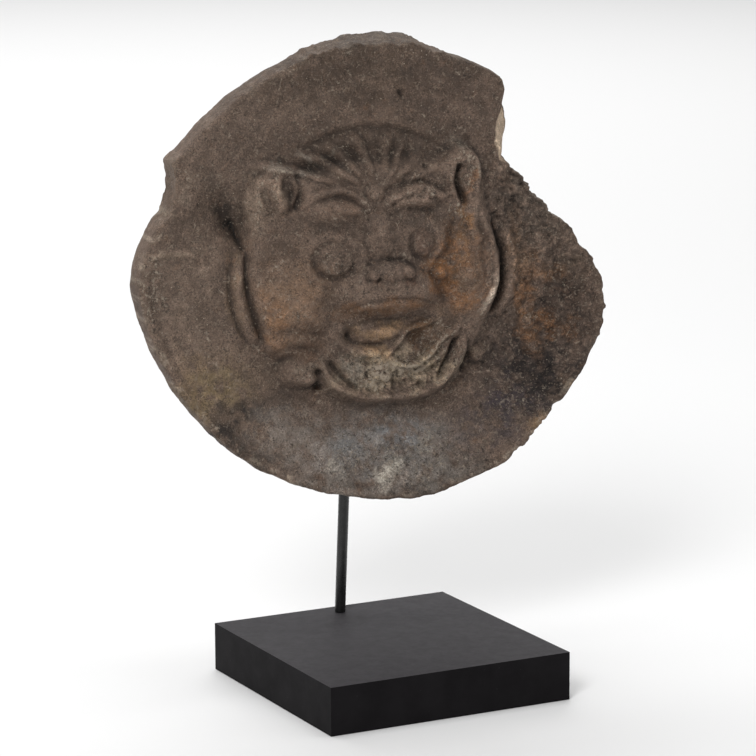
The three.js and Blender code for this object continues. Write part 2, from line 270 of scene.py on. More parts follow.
def head_masses():
    """Rounded masses joined with fillets, largest first."""
    z = smooth_max(np.zeros(X.shape), plateau(HEAD_OUTLINE, HEAD_SLOPE, 10.5), 2.0)
    z = z + hump(2, 36, 34, 11, 2.5)
    for mass, fillet in (
        (dome(1, 2, 57, 53, 17.5, 0, 0.8), 3),            # the whole face
        (dome(-37, -11, 19, 24, 19.6, 20, 0.5), 5),       # left cheek
        (dome(44, -3, 17, 25, 17.6, 10, 0.5), 5),         # right cheek
        (dome(42, -2.5, 9.5, 8.5, 20.3, 0, 0.45), 3),     # ball on the right cheek
        (dome(30, -1, 6, 5, 18.6, 0, 0.6), 3),            # swirl beside it
        (dome(4, -8, 30, 14.5, 24.3, -1, 0.45), 4),       # muzzle
        (dome(5.5, 1.0, 15.5, 7.0, 25.2, -4, 0.5), 4),    # nose
        (dome(-2.8, -0.4, 4.8, 4.2, 26.2, 0, 0.5), 1.2),  # nostril wings and tip
        (dome(5.2, 2.0, 4.4, 4.0, 26.4, 0, 0.5), 1.2),
        (dome(13.2, 0.6, 5.2, 4.8, 26.2, 0, 0.5), 1.2),
        (dome(2, 16, 9, 17, 19.8, 2, 0.7), 6),            # bridge of the nose
        (dome(-17, 28, 21, 9.5, 17.6, -4, 0.6), 4),       # left brow
        (dome(-14, 29.6, 13, 4.6, 19.8, -10, 0.6), 2.5),  # its swelling
        (dome(19, 33, 16, 6.0, 16.8, 0, 0.5), 3),         # right brow
        (dome(-42.5, 37.3, 10.6, 12.2, 14.5, 8, 0.4), 3),   # left ear
        (dome(-53, 33, 7, 11, 9.5, 0, 0.6), 3),           # shoulder beside it
        (dome(42.2, 42, 9.6, 13.5, 15.0, -8, 0.4), 3),    # right ear
        (dome(5, -44, 27, 17, 13.0, 0, 0.6), 2),          # chin and beard
        (dome(-33, -43.5, 12, 9.5, 11.6, 25, 0.6), 4),     # beard knob, left
        (dome(-30.5, -47, 6, 6, 12.6, 0, 0.6), 3),
        (dome(51, -41, 5.5, 5, 7.5), 2),                  # beard knob, right
    ):
        z = smooth_max(z, mass, fillet)
    return z


def fan():
    """Locks spreading from the forehead boss, inside a shallow sunk arc."""
    z = ridge(FAN_ARC, 2.8, -1.3, 0.3) + ridge([(x, y + 3.6) for x, y in FAN_ARC], 3.0, 0.7, 0.3)
    for points, half_width, height in LOCKS:
        z += ridge(points, half_width, height, 0.2, 0.6)
    return z


def eyes():
    """Bulging balls in a groove, deepest at the lower left, with a low worn rim."""
    z = np.zeros(X.shape)
    for cx, cy, rx, ry, rim in EYES:
        lean = np.clip(((cx - X) / rx + (cy - Y) / ry) / 1.4, -1, 1)
        z += (1 - 0.5 * lean) * ring_ridge(cx + 0.5, cy + 0.4, rx + rim, ry + rim, rim + 0.8, 0.9)
        z -= (1 + 0.9 * lean) * ring_ridge(cx, cy, rx, ry, 2.1, 0.85)
        z += dome(cx, cy, rx - 0.6, ry - 0.6, 2.0, 0, 0.8)
        z -= ring_ridge(cx + 0.6, cy, rx * 0.5, ry * 0.5, 1.1, 0.4)
    z -= hump(22, 23.5, 13, 3.0, 1.4)
    z -= hump(-19, 20.5, 16, 4.0, 0.9)
    return z


# Ridges and grooves: points, half width, height (below zero it is a groove), thinning
LINES = [
    # left brow: its rim, the step over the swelling, the crease under it
    ([(-38, 28), (-31, 34), (-23, 37), (-15, 38), (-7, 33.5), (-1, 27)], 2.6, 1.8, 0),
    ([(-27, 33), (-20, 34.6), (-13, 34.6), (-7, 31), (-2.5, 25)], 1.4, -1.2, -0.6),
    # right brow: two wavy ridges, the crease over it and the shadow under it
    ([(4, 30.5), (10, 34.5), (18, 37.8), (25, 36.8), (34, 32)], 2.6, 3.0, 0),
    ([(6, 28), (14, 31), (23, 31.5), (31, 29.5)], 3.0, 1.0, 0),
    ([(8, 32), (15, 34.2), (24, 33.8), (30, 31.4)], 1.6, -0.6, 0),
    ([(4, 36), (11, 39.5), (20, 41), (29, 38.5), (34, 34)], 1.6, -1.6, 0),
    ([(6, 26), (16, 28), (26, 27), (35, 28.5)], 3.4, -1.1, 0),
    # forehead and bridge creases
    ([(-4, 33), (-4.5, 38), (-1, 41)], 1.4, -1.2, 0),
    ([(-3, 13.5), (1, 15.2), (6, 15.2), (9.5, 13)], 1.3, -1.1, 0),
    ([(-8, 20), (-2, 19), (5, 20), (11, 19)], 1.3, -0.6, 0),
    # nose: top line, nostrils, wings
    ([(-7, 2), (-4, 4.6), (0, 5.8)], 1.2, -1.2, 0),
    ([(2.5, 6.8), (8, 6), (13, 5.2), (17.5, 0.5)], 1.3, -1.6, 0),
    ([(-5, -2.8), (-2.5, -1.4), (1, -2.6)], 1.7, -1.5, 0),
    ([(9.5, -3.0), (12.5, -1.6), (16, -3.2)], 1.8, -1.6, 0),
    ([(-7, -5), (3, -6.5), (14, -5.5), (20, -2)], 1.6, -0.8, 0),
    # furrow between the right eye and the cheek, fold beside the muzzle
    ([(37.5, 23), (36, 15), (33, 8), (27, 4)], 3.8, -2.2, 0.3),
    ([(24, 1), (28, -6), (32, -12), (33, -17)], 3.2, -1.4, 0),
    ([(48, 22), (51, 12), (50.5, 3), (52, -6)], 2.6, -1.2, 0),
    ([(31, 6), (36, 2), (36, -4), (32, -8)], 2.0, -1.2, 0),
    # left ear: its leaf-like swelling, rim and the groove behind it
    ([(-47.5, 45), (-45.5, 39), (-40.5, 29.5)], 4.8, 2.6, 0),
    ([(-39, 48), (-47, 48), (-52.5, 42.5), (-53, 34), (-48, 27)], 2.2, 1.8, 0),
    ([(-36, 45.5), (-33.2, 38), (-36.5, 28.5)], 2.0, -2.6, 0.2),
    ([(-37.5, 44), (-35.6, 38), (-38.5, 31)], 1.3, 1.6, 0),
    # right ear's slot and rims, the neck below it
    ([(41.4, 48.5), (39.6, 42), (40.2, 36.5), (42.6, 31.5), (43.8, 28.5)], 3.3, -9.0, 0.2),
    ([(35, 40), (34, 46.5), (37.5, 52), (43, 54), (48.5, 49.5), (50, 42), (48, 32)], 2.2, 1.6, 0),
    ([(45, 44), (46, 38), (45, 33)], 1.6, 1.2, 0),
    ([(45.5, 27), (46.5, 20), (49.5, 11)], 3.6, 2.4, 0),
    # left side: the wedge beside the head, groove, band, outer groove
    ([(-63.5, 25), (-61, 18), (-58.8, 10)], 2.2, -2.6, 0.3),
    ([(-57.5, 14), (-58.4, 6), (-58.2, -3), (-56.4, -12), (-53.4, -23), (-50.2, -33)], 1.5, -3.6, 0),
    ([(-60, 15), (-61.6, 5), (-61.8, -5), (-60, -16), (-57, -25), (-53.5, -33)], 4.2, 4.4, 0),
    ([(-63, 13), (-65.2, 4), (-65.6, -7), (-63.6, -18), (-60, -27), (-54.5, -35)], 1.2, -1.8, 0),
    # right side: pale edge, groove, band
    ([(52, 22), (57, 9), (58.5, -3), (55.5, -12), (50.5, -19)], 2.4, 2.6, 0),
    ([(56.5, 21), (59.8, 13), (62.4, 5), (63, -4), (60.6, -14), (55, -24.5)], 1.6, -3.6, 0),
    ([(62, 18), (66, 8), (67.5, -3), (65.5, -13), (60, -23)], 4.0, 3.6, 0),
    # cheek crease, jaw
    ([(-44, 1), (-49, -7), (-54, -13)], 1.5, 1.0, 0),
    ([(-46, -25), (-37, -25), (-24, -28)], 6.4, -2.0, 0),
    ([(-49, -30), (-39, -29), (-28, -30), (-22, -33)], 3.4, 1.2, 0),
    ([(-48, -36.5), (-41, -34.5), (-33, -34), (-24, -36)], 2.6, -1.8, 0),
    # lips: thin line over the upper lip, the opening, grooves round the tongue
    ([(-17, -19), (-10, -14.4), (0, -11.4), (9, -10.8), (19, -12), (28, -15.5)], 1.7, -1.5, 0.4),
    ([(-16, -17), (-6, -14.6), (5, -13.6), (18, -15.4)], 2.2, 0.9, 0),
    ([(-6, -15), (-7, -20)], 1.6, -0.7, 0),
    ([(4, -14.5), (4, -20)], 1.6, -0.6, 0),
    ([(14, -15.5), (16, -20.5)], 1.6, -0.7, 0),
    ([(-14, -26.5), (-8, -23.4), (2, -21.6), (13, -21.8), (27, -19.6)], 1.5, -0.9, 0.4),
    ([(-13.5, -27), (-10, -32), (-3, -33.2), (5, -33.6)], 2.0, -2.4, 0.3),
    ([(-4, -27), (3, -28.4), (11, -28)], 1.3, -0.8, 0),
    ([(-22, -27), (-17, -30), (-12, -36)], 2.2, 1.2, 0),
    ([(-14, -37), (-7, -41), (1, -42)], 1.5, -1.4, 0),
    # the two ridges spreading to the right of the mouth
    ([(29, -22.5), (22, -25), (15, -27.5), (10, -34), (4, -39.5)], 1.8, 3.2, 0),
    ([(41, -22), (38.5, -27.5), (32, -32), (27.5, -38), (21.5, -42.5), (13, -43.5), (6, -39.5)],
     1.9, 3.4, 0),
    ([(40, -28), (35, -33.5), (31, -40), (24, -46)], 2.2, 1.6, 0),
    # beard: slits and the band round the chin
    ([(38.8, -31.5), (35, -41.5), (30, -51.5)], 1.6, -4.6, 0),
    ([(42, -31), (40.6, -39), (35.5, -49), (27, -56)], 2.6, 3.6, 0),
    ([(44.2, -33), (45.6, -40), (42.5, -50)], 1.6, -3.4, 0),
    ([(-21.5, -40), (-15.5, -47.5), (-8, -54.5)], 1.5, -4.2, 0),
    ([(-25.5, -39), (-23, -46), (-16.5, -53), (-7, -57)], 2.4, 3.4, 0),
    ([(-7, -57), (4, -58), (16, -57.6), (27, -56)], 3.2, 2.4, 0),
    ([(-17, -38), (-11, -45), (-3, -50)], 2.4, 1.4, 0),
    # slit above the fan, lip at the foot of the tile, a scratch and a raised line
    ([(13.6, 81.4), (15.4, 77.8)], 1.4, -3.0, 0),
    ([(6, -104.5), (17, -105.5), (30, -106)], 1.8, -1.6, 0),
    ([(5, -108), (18, -109.5), (31, -110)], 2.6, 1.4, 0),
    ([(-103, 10), (-92, 12), (-79, 10.6)], 2.4, 1.5, 0),
    ([(74, 28), (80, 12), (82, -4), (79, -20)], 4.5, 1.2, 0),
    ([(90, 6), (84, -14), (74, -30)], 3.0, -1.0, 0),
    ([(66, 40), (71, 30), (73, 18)], 3.4, 1.4, 0),
    ([(100, -6), (92, -22), (80, -36)], 3.2, 0.9, 0),
    ([(72, -36), (86, -46), (98, -52)], 3.0, 0.8, 0),
    ([(-60, 70), (-40, 83), (-16, 90)], 2.4, 0.5, 0),
    ([(-86, -30), (-72, -52), (-50, -66)], 2.4, -0.5, 0),
]
# Small deep holes: x, y, radius, depth
HOLES = [
    (-25.8, -45, 1.5, 4.5), (-25, -52.3, 1.9, 4.0), (24.5, 46.6, 1.2, 3.0), (-11.2, -90.8, 1.3, 1.6),
    (-6, -89.5, 1.1, 1.6), (-4, -47.5, 1.4, 2.5), (2.5, -51.5, 1.5, 2.6), (8, -48, 1.3, 2.2),
    (12.5, -52, 1.5, 2.6), (17.5, -48.5, 1.2, 2.0), (-0.5, -44, 1.0, 1.8), (21, -52.5, 1.2, 2.0),
]
# The rim's own groove and lip, kept between two angles: distance in from the edge,
# half width and height
MOULDED_RIM = (165, 300)
RIM_LINES = [(6.5, 1.8, -0.55), (3.5, 2.4, 0.40)]
# The flange rises to its rim from this distance out
DISH_DEPTH = 2.4
DISH_START = 70.0
DISH_WIDTH = 38.0


def face_relief():
    """The whole face: masses, features, lines, holes, and the dished flange with its rim."""
    z = head_masses()
    z -= hump(5, -22.6, 20, 3.2, 1.5) + hump(-12, -29, 3.6, 4.2, 3.0, -30)
    z = smooth_max(z, dome(4, -27.4, 14, 5.4, 16.2, -3, 0.6), 1.4)
    z = smooth_max(z, dome(-2, -36.8, 9.5, 4.2, 15.4, -4, 0.6), 1.5)
    z -= dome(20.5, -31.5, 8.5, 4.6, 2.6, -34, 1.0)
    z += dome(-0.2, 36, 5.2, 4.4, 2.6, -20, 0.9)
    z += hump(-1, 34.5, 1.6, 1.2, 0.8)
    z -= dome(-38.6, 36.8, 5.6, 9.4, 5.0, 12, 0.8)
    z += ring_ridge(42, -2.5, 7.4, 6.6, 1.8, 0.8)
    z -= dome(44.6, 40.5, 4.6, 9.0, 3.0, -8, 0.8)
    z += eyes() + fan()
    for points, half_width, height, thinning in LINES:
        z += ridge(points, half_width, height, 0.15, thinning)
    z -= hump(-62.5, 21, 5.5, 11, 4.2, 22) + hump(-68, 30, 9, 17, 3.2, 26)
    for cx, cy, radius, depth in HOLES:
        z -= hump(cx, cy, radius, radius, depth)
    reach = np.hypot(X, Y)
    angles = np.degrees(np.arctan2(Y, X)) % 360
    from_edge = around(OUTLINE, angles) - reach
    start, end = MOULDED_RIM
    moulded = smooth_step((angles - start) / 15) * smooth_step((end - angles) / 15)
    for inset, half_width, height in RIM_LINES:
        z += height * moulded * np.clip(1 - ((from_edge - inset) / half_width) ** 2, 0.0, 1.0)
    return z + DISH_DEPTH * smooth_step((reach - DISH_START) / DISH_WIDTH)


# Rough ground: (x, y, half width, half height, turn, roughness in millimetres)
ROUGH_GROUND = [
    (84, -8, 26, 44, 10, 0.8), (64, 30, 10, 20, 0, 0.8), (78, -50, 22, 22, 0, 0.6),
    (10, -48, 26, 11, 0, 1.1), (20, 33, 16, 7, 0, 0.7), (4, 1, 17, 9, 0, 0.45),
    (-17, 8, 13, 12, 0, 0.3), (43, 42, 10, 14, 0, 0.5), (-44, 37, 12, 13, 0, 0.35),
    (20, -95, 50, 14, 0, 0.35), (45, -38, 14, 14, 0, 0.4), (-90, 20, 16, 40, 0, 0.15),
]
EVERYWHERE_ROUGH = 0.10
RUBBED_RADIUS = 0.4


def ground_roughness():
    """How uneven the surface is at each place, in millimetres."""
    rough = np.full(X.shape, EVERYWHERE_ROUGH)
    for cx, cy, rx, ry, turn, amount in ROUGH_GROUND:
        rough = rough + hump(cx, cy, rx, ry, amount, turn)
    return rough


def worn(z):
    """Edges rubbed soft, and an uneven, pitted surface."""
    z = blurred(z, RUBBED_RADIUS)
    for height, size, seed in ((0.55, 22, 11), (0.20, 7, 21)):
        z = z + height * layered(X, Y, size, seed, 3)
    pits = np.clip(layered(X, Y, 4.2, 31, 3, 0.7) - 0.25, 0, 1)
    lumps = layered(X, Y, 3.6, 36, 3, 0.75) + 0.9 * layered(X, Y, 9, 46, 2)
    return z + ROUGHNESS * (lumps - 1.2 * pits)


ROUGHNESS = ground_roughness()
RELIEF = worn(face_relief())

# ---------------------------------------------------------------- the tile's mesh
# How far the front edge stands inside the back edge, as angle and inset: the chipped
# crown, the slanting break at the upper right and the chips round the right side
FRONT_INSETS = [
    (-12, 1.4), (-4, 2.6), (3, 1.6), (10, 0.8), (20, 1.6), (30, 1.2), (36, 3.5), (39, 10), (42, 14.5),
    (45.5, 14), (48, 11), (50, 6.5), (52.5, 2.0), (57, 0.6), (66, 0.8), (74, 2.0), (82, 4.3), (92, 3.8),
    (101, 1.8), (110, 0.8), (130, 0.5), (150, 0.6), (158, 1.6), (166, 0.8), (186, 0.5), (206, 0.6),
    (228, 1.2), (236, 0.6), (264, 0.5), (286, 0.8), (304, 1.6), (309, 5.0), (316, 5.5), (322, 3.5),
    (327, 1.0), (338, 0.8),
]
# Stretches of broken edge, sharp and rough, as middle angle and half width
BREAKS = [(20, 34), (157, 9), (316, 9), (88, 20), (350, 10)]
SECTORS = 620
MASK_RADIUS = 72.0
MASK_RINGS = 100
FLANGE_RINGS = 34
WALL_RINGS = 11
BACK_RINGS = 13
WORN_ROUNDING = 2.4
BROKEN_ROUNDING = 0.7


def broken_share(angles):
    """1 where the edge is a break, 0 where it is the worn moulded rim."""
    share = np.zeros(np.shape(angles))
    for middle, half_width in BREAKS:
        off = np.abs((angles - middle + 180) % 360 - 180)
        share = np.maximum(share, smooth_step((half_width - off) / 5 + 0.5))
    return share


def tile_rings():
    """Rings of points from the middle of the face, over the edge, to the middle of the back."""
    angles = np.arange(SECTORS) * 360 / SECTORS
    cos, sin = np.cos(np.radians(angles)), np.sin(np.radians(angles))
    broken = broken_share(angles)
    arc = angles * math.pi / 180 * 107
    jagged = (0.35 + 0.9 * broken) * layered(arc, arc * 0, 7, 41, 4, 0.6)
    back = around(OUTLINE, angles) + 0.6 * jagged
    front = around(OUTLINE, angles) - around(FRONT_INSETS, angles) + jagged
    rounding = WORN_ROUNDING + (BROKEN_ROUNDING - WORN_ROUNDING) * broken
    rings = []
    for i in range(1, MASK_RINGS + 1):
        r = np.full(SECTORS, MASK_RADIUS * i / MASK_RINGS)
        rings.append((r * cos, r * sin, sample(RELIEF, r * cos, r * sin)))
    for i in range(1, FLANGE_RINGS + 1):
        r = MASK_RADIUS + (front - rounding - MASK_RADIUS) * i / FLANGE_RINGS
        rings.append((r * cos, r * sin, sample(RELIEF, r * cos, r * sin)))
    face = rings[-1][2]
    for i in range(1, WALL_RINGS + 1):
        t = i / (WALL_RINGS + 1)
        bulge = np.sin(math.pi * t) ** 0.5 * rounding
        r = front + (back - front) * t - rounding + bulge
        depth = face + (-TILE_THICKNESS - face) * (0.5 - 0.5 * math.cos(math.pi * t))
        depth_mean = -TILE_THICKNESS * t
        rough = (0.12 + 0.65 * broken) * math.sin(math.pi * t)
        r = r + rough * layered(arc, np.full(SECTORS, depth_mean * 1.3), 4.5, 51, 3, 0.6)
        rings.append((r * cos, r * sin, depth))
    for i in range(BACK_RINGS, 0, -1):
        r = (back - rounding) * i / BACK_RINGS
        x, y = r * cos, r * sin
        rings.append((x, y, -TILE_THICKNESS + 0.2 + 0.35 * layered(x, y, 26, 61, 4)))
    return [np.array(rows) for rows in zip(*rings)]


def paint(mesh, name, values):
    """A colour or a number for every vertex, for the material to read."""
    if values.ndim == 1:
        mesh.attributes.new(name, "FLOAT", "POINT").data.foreach_set("value", values)
    else:
        rgba = np.hstack([values, np.ones((len(values), 1))])
        mesh.attributes.new(name, "FLOAT_COLOR", "POINT").data.foreach_set("color", rgba.ravel())


def tile_object():
    x, y, z = tile_rings()
    count = len(x)
    centre = np.zeros(1)
    points = np.vstack([
        place(x.ravel(), y.ravel(), z.ravel()),
        place(centre, centre, sample(RELIEF, centre, centre)),
        place(centre, centre, centre - TILE_THICKNESS + 0.2),
    ])
    first = np.arange(SECTORS)
    after = (first + 1) % SECTORS
    faces = []
    for ring in range(count - 1):
        inner, outer = ring * SECTORS, (ring + 1) * SECTORS
        faces += np.stack([inner + first, outer + first, outer + after, inner + after], -1).tolist()
    front, back = count * SECTORS, count * SECTORS + 1
    last = (count - 1) * SECTORS
    faces += [(front, a, b) for a, b in zip(first.tolist(), after.tolist())]
    faces += [(back, last + b, last + a) for a, b in zip(first.tolist(), after.tolist())]
    mesh = bpy.data.meshes.new("tile_with_mask")
    mesh.from_pydata(points.tolist(), [], faces)
    mesh.shade_smooth()
    ring_of = np.repeat(np.arange(count), SECTORS)
    paint_tile(mesh, x.ravel(), y.ravel(), ring_of)
    return bpy.data.objects.new("tile_with_mask", mesh)


# ---------------------------------------------------------------- the tile's colours
FACE_LIGHT = 0.94


def srgb(red, green, blue):
    """A colour seen on the tile under this light, as a surface colour."""
    seen = np.array([red, green, blue]) / 255
    linear = np.where(seen <= 0.04045, seen / 12.92, ((seen + 0.055) / 1.055) ** 2.4)
    return linear / FACE_LIGHT


CLAY = srgb(95, 79, 68)
# Patches of colour, among them painted shade and painted highlights: (x, y, half width, half height, turn,
# strength, colour, ragged edge)
PATCHES = [
    # upper flange, darker and browner; the left flange, paler
    (0, 92, 95, 18, 0, 0.85, srgb(73, 60, 50), 0.6),
    (-65, 62, 30, 26, 40, 0.5, srgb(94, 80, 70), 0.6),
    (40, 78, 26, 16, -30, 0.6, srgb(80, 66, 57), 0.8),
    (0, 108, 48, 6, 0, 1.0, srgb(62, 52, 45), 0.3),
    (-30, 74, 26, 5, 20, 0.4, srgb(108, 92, 80), 1.0),
    (-85, -10, 22, 40, 0, 0.8, srgb(108, 92, 80), 0.6),
    (-92, 12, 14, 1.8, 3, 0.7, srgb(132, 116, 100), 0.5),
    (-84, 30, 12, 8, 20, 0.5, srgb(84, 70, 60), 1.0),
    (-90, 42, 10, 10, 0, 0.6, srgb(110, 96, 84), 1.0),
    # lower left: ochre brown with sooty mottling
    (-72, -56, 26, 22, 40, 0.8, srgb(104, 88, 73), 0.7),
    (-84, -44, 8, 16, 30, 0.5, srgb(112, 93, 72), 1.0),
    (-74, -53, 13, 10, 30, 0.65, srgb(118, 101, 75), 1.0),
    (-60, -71, 25, 12, 24, 1.0, srgb(50, 42, 37), 1.0),
    (-46, -86, 12, 6, 10, 0.8, srgb(60, 53, 47), 1.0),
    (-66, -62, 10, 4, 30, 0.6, srgb(66, 56, 48), 1.0),
    # foot: grey and bluish, with pale bloom
    (-36, -76, 24, 14, -10, 0.8, srgb(126, 115, 106), 0.8),
    (6, -84, 42, 20, 0, 0.9, srgb(118, 112, 107), 0.8),
    (14, -76, 12, 8, 0, 0.7, srgb(104, 106, 108), 1.0),
    (-12, -82, 9, 6, 0, 0.6, srgb(98, 98, 98), 1.0),
    (8, -95, 5, 8, 0, 1.0, srgb(168, 160, 148), 0.7),
    (-16, -92, 6, 4, 0, 0.7, srgb(146, 138, 128), 1.0),
    (26, -86, 7, 4, 0, 0.7, srgb(140, 133, 124), 1.0),
    (30, -98, 22, 6, 5, 0.6, srgb(124, 117, 110), 1.0),
    (-20, -98, 22, 5, -6, 0.6, srgb(118, 110, 102), 1.0),
    # right: dark foot corner, rusty flank, dark eroded upper part
    (80, -50, 30, 26, 30, 0.95, srgb(40, 32, 29), 0.7),
    (60, -74, 22, 14, 20, 0.8, srgb(70, 61, 60), 0.9),
    (66, -66, 12, 7, 20, 0.6, srgb(58, 50, 56), 1.0),
    (92, -18, 22, 24, 0, 0.9, srgb(58, 45, 37), 0.7),
    (75, -20, 7, 22, 6, 0.85, srgb(114, 82, 57), 0.9),
    (88, -28, 13, 5, -24, 0.8, srgb(102, 72, 49), 1.0),
    (86, -4, 12, 6, -20, 0.7, srgb(98, 72, 52), 1.0),
    (98, 2, 8, 14, 0, 0.5, srgb(92, 78, 66), 1.0),
    (76, 26, 18, 22, 20, 0.8, srgb(70, 60, 52), 0.9),
    (97, -66, 8, 9, 30, 0.9, srgb(122, 98, 74), 0.9),
    (87, -74, 7, 14, -45, 0.8, srgb(124, 100, 75), 0.8),
    (70, 4, 4.5, 20, 4, 0.7, srgb(104, 82, 64), 0.7),
    # round the head; the first four are painted shade in the wedge-shaped hollow beside its left side
    (-69, 34, 8, 14, 24, 0.75, srgb(72, 61, 52), 0.8),
    (-66, 27, 6, 12, 26, 0.7, srgb(60, 50, 43), 0.9),
    (-61.5, 18, 2.6, 8, 18, 0.9, srgb(36, 30, 26), 0.8),
    (-60, 12, 2.2, 7, -4, 0.8, srgb(48, 40, 34), 0.6),
    (-62, -6, 3.4, 20, -4, 0.5, srgb(112, 92, 74), 0.8),
    (0, 55, 40, 14, 0, 0.8, srgb(68, 56, 47), 0.5),
    (0, 40, 30, 7, 0, 0.5, srgb(82, 68, 58), 0.6),
    # left cheek and jaw; the two dark bands are painted shade under the cheek and along the jaw's lower
    # edge
    (-38, -11, 18, 24, -6, 0.8, srgb(114, 91, 73), 0.6),
    (-47, -20, 6, 13, 15, 0.6, srgb(122, 90, 64), 1.0),
    (-34, -28, 15, 5.5, -6, 0.75, srgb(82, 63, 50), 0.9),
    (-36, -36, 14, 3.5, 0, 0.6, srgb(84, 64, 50), 0.8),
    (-30, -9, 6, 5, 0, 0.4, srgb(112, 88, 70), 1.0),
    # right cheek: rust round the ball, a streak up to the ear
    (41, 0, 15, 20, 10, 0.85, srgb(116, 82, 56), 0.8),
    (32, 1, 11, 7, 10, 0.8, srgb(122, 84, 52), 1.0),
    (30, -7, 6, 6, 0, 0.7, srgb(116, 82, 56), 1.0),
    (45, -13, 9, 5, 10, 0.7, srgb(114, 82, 56), 1.0),
    (42, 12, 6, 7, 0, 0.6, srgb(110, 84, 60), 1.0),
    (45, 24, 3.5, 9, 0, 0.7, srgb(126, 92, 62), 0.9),
    (47, 38, 2.4, 7, 0, 0.6, srgb(122, 90, 66), 0.9),
    (42, -2, 6, 5.5, 0, 0.7, srgb(90, 80, 70), 0.8),
    # painted shade: a dark crescent on the right side of the cheek's ball
    (50, 0, 4, 8, 0, 0.6, srgb(84, 72, 62), 0.9),
    # mouth, tongue, lower lip, the leaf at its right
    (3, -17, 26, 5.0, 0, 0.8, srgb(94, 68, 48), 0.8),
    (14, -18, 8, 3, 0, 0.5, srgb(98, 70, 48), 1.0),
    (4, -27, 12, 4.0, -3, 0.8, srgb(134, 108, 82), 0.9),
    (-8, -29.5, 6, 3, -20, 0.6, srgb(82, 64, 50), 0.8),
    (-2, -37, 8, 4, 0, 0.9, srgb(138, 112, 86), 0.8),
    (21, -32, 8, 6, -34, 0.85, srgb(92, 68, 48), 0.7),
    (35, -24, 10, 8, 40, 0.5, srgb(110, 88, 70), 0.9),
    (24, -41, 8, 3, 40, 0.5, srgb(106, 84, 62), 0.9),
    # beard
    (8, -47, 27, 10, 0, 0.9, srgb(158, 141, 118), 0.9),
    (-12, -46, 8, 5, -40, 0.6, srgb(96, 92, 86), 1.0),
    (40, -46, 2.0, 8, -18, 0.8, srgb(132, 118, 102), 0.5),
    # nose, eyes and brows
    # painted shade darkening the nose, standing for the shade on its upper side
    (5, 2, 17, 7, 0, 0.75, srgb(72, 60, 52), 0.8),
    (13, -1, 6, 4, 0, 0.5, srgb(98, 68, 52), 1.0),
    (0, -2, 6, 3, 0, 0.4, srgb(102, 78, 62), 1.0),
    (-15, 29, 12, 5, -10, 0.5, srgb(92, 73, 60), 0.9),
    (-19, 7, 8, 7, 0, 0.5, srgb(88, 74, 64), 0.8),
    (21, 13, 7, 8, 0, 0.7, srgb(82, 64, 54), 0.7),
    # the next two are painted shade under the brows
    (-22, 22, 20, 5, 0, 0.3, srgb(78, 66, 57), 0.9),
    (22, 24, 14, 3, 0, 0.5, srgb(76, 66, 58), 0.8),
    # ears, and the rubbed pale places, with painted shade in the groove inside the left ear and painted
    # highlights along the upper rims and the left ear's middle ridge
    (-43, 37, 8, 10, 0, 0.6, srgb(108, 90, 76), 0.8),
    # painted shade in the groove inside the left ear
    (-36.5, 37, 3, 9, 8, 0.7, srgb(62, 52, 45), 0.7),
    (-54, 35, 6, 13, 0, 0.7, srgb(116, 100, 86), 0.8),
    (-57, 14, 3, 5, 0, 0.6, srgb(122, 100, 84), 0.6),
    (55.5, -11, 2.6, 8, -24, 0.95, srgb(176, 160, 144), 0.5),
    # the next three are painted highlights along the upper rims of the left ear and the locks
    (-38, 48.2, 12, 2.0, -12, 0.7, srgb(122, 112, 101), 0.8),
    (-27, 52, 6, 2.0, -20, 0.7, srgb(124, 114, 103), 0.8),
    (-17, 55.5, 3, 2.2, 0, 0.5, srgb(118, 108, 97), 0.8),
    # painted highlight on the left ear's middle ridge
    (-41, 36, 2.4, 6, 14, 0.3, srgb(124, 110, 95), 0.6),
    # painted highlight along the right ear's upper rim
    (42, 54, 6, 1.6, 0, 0.6, srgb(126, 116, 104), 0.8),
    (-2, 33.5, 3.2, 1.2, 30, 0.6, srgb(136, 122, 108), 0.9),
    (-32, -43, 9, 5, 20, 0.5, srgb(110, 96, 83), 0.8),
    (51, -42, 4, 4, 0, 0.5, srgb(118, 102, 86), 0.8),
]
# Where lime lies thick, as (x, y, half width, half height, turn, amount)
LIME = [
    (8, -48, 24, 9, 0, 1.15), (19, 36.5, 14, 3, -4, 0.75), (44, 44, 9, 13, 0, 0.6),
    (-40, 47, 14, 4, -10, 0.7), (15, -90, 45, 14, 0, 0.6), (28, -38, 16, 14, 40, 0.7),
    (-104, 0, 6, 34, 0, 0.8), (-2, 32, 5, 6, 0, 0.6), (70, -66, 22, 12, 0, 0.5),
    (-19, 7, 6, 6, 0, 0.5), (-33, -20, 9, 4, 0, 0.6), (43, 28, 5, 4, 0, 0.9),
    (-50, 36, 10, 12, 0, 0.5), (-29, -46, 8, 8, 0, 0.4), (55, -14, 6, 9, -20, 0.6),
    (-104, -40, 6, 20, 0, 0.6),
]
# How strongly the relief shows in the colour, as painted shade in the hollows and painted highlights on the
# crests, and how strongly old wiping shows
HOLLOW_PAINTED_SHADE = 0.56
CREST_PAINTED_HIGHLIGHT = 0.40
WIPE_STREAKS = 0.09
# Broken clay: a little raw on old breaks, pale where the break is fresh
RAW_SHARE = 0.12
RAW_CLAY = srgb(118, 102, 86)
FRESH_CLAY = srgb(196, 174, 150)
FRESH_BREAK_ANGLE = 43
FRESH_BREAK_HALF_WIDTH = 6
# Stretches of rim with pale chips, as middle angle and half width
CHIPPED_RIM = [(205, 45), (305, 28)]
PALE_CHIP = srgb(152, 138, 122)


def spot(x, y, cx, cy, rx, ry, turn):
    """How far out a point lies in a turned ellipse: 0 in the middle, 1 at its edge."""
    c, s = math.cos(math.radians(turn)), math.sin(math.radians(turn))
    return np.hypot(((x - cx) * c + (y - cy) * s) / rx, (-(x - cx) * s + (y - cy) * c) / ry)


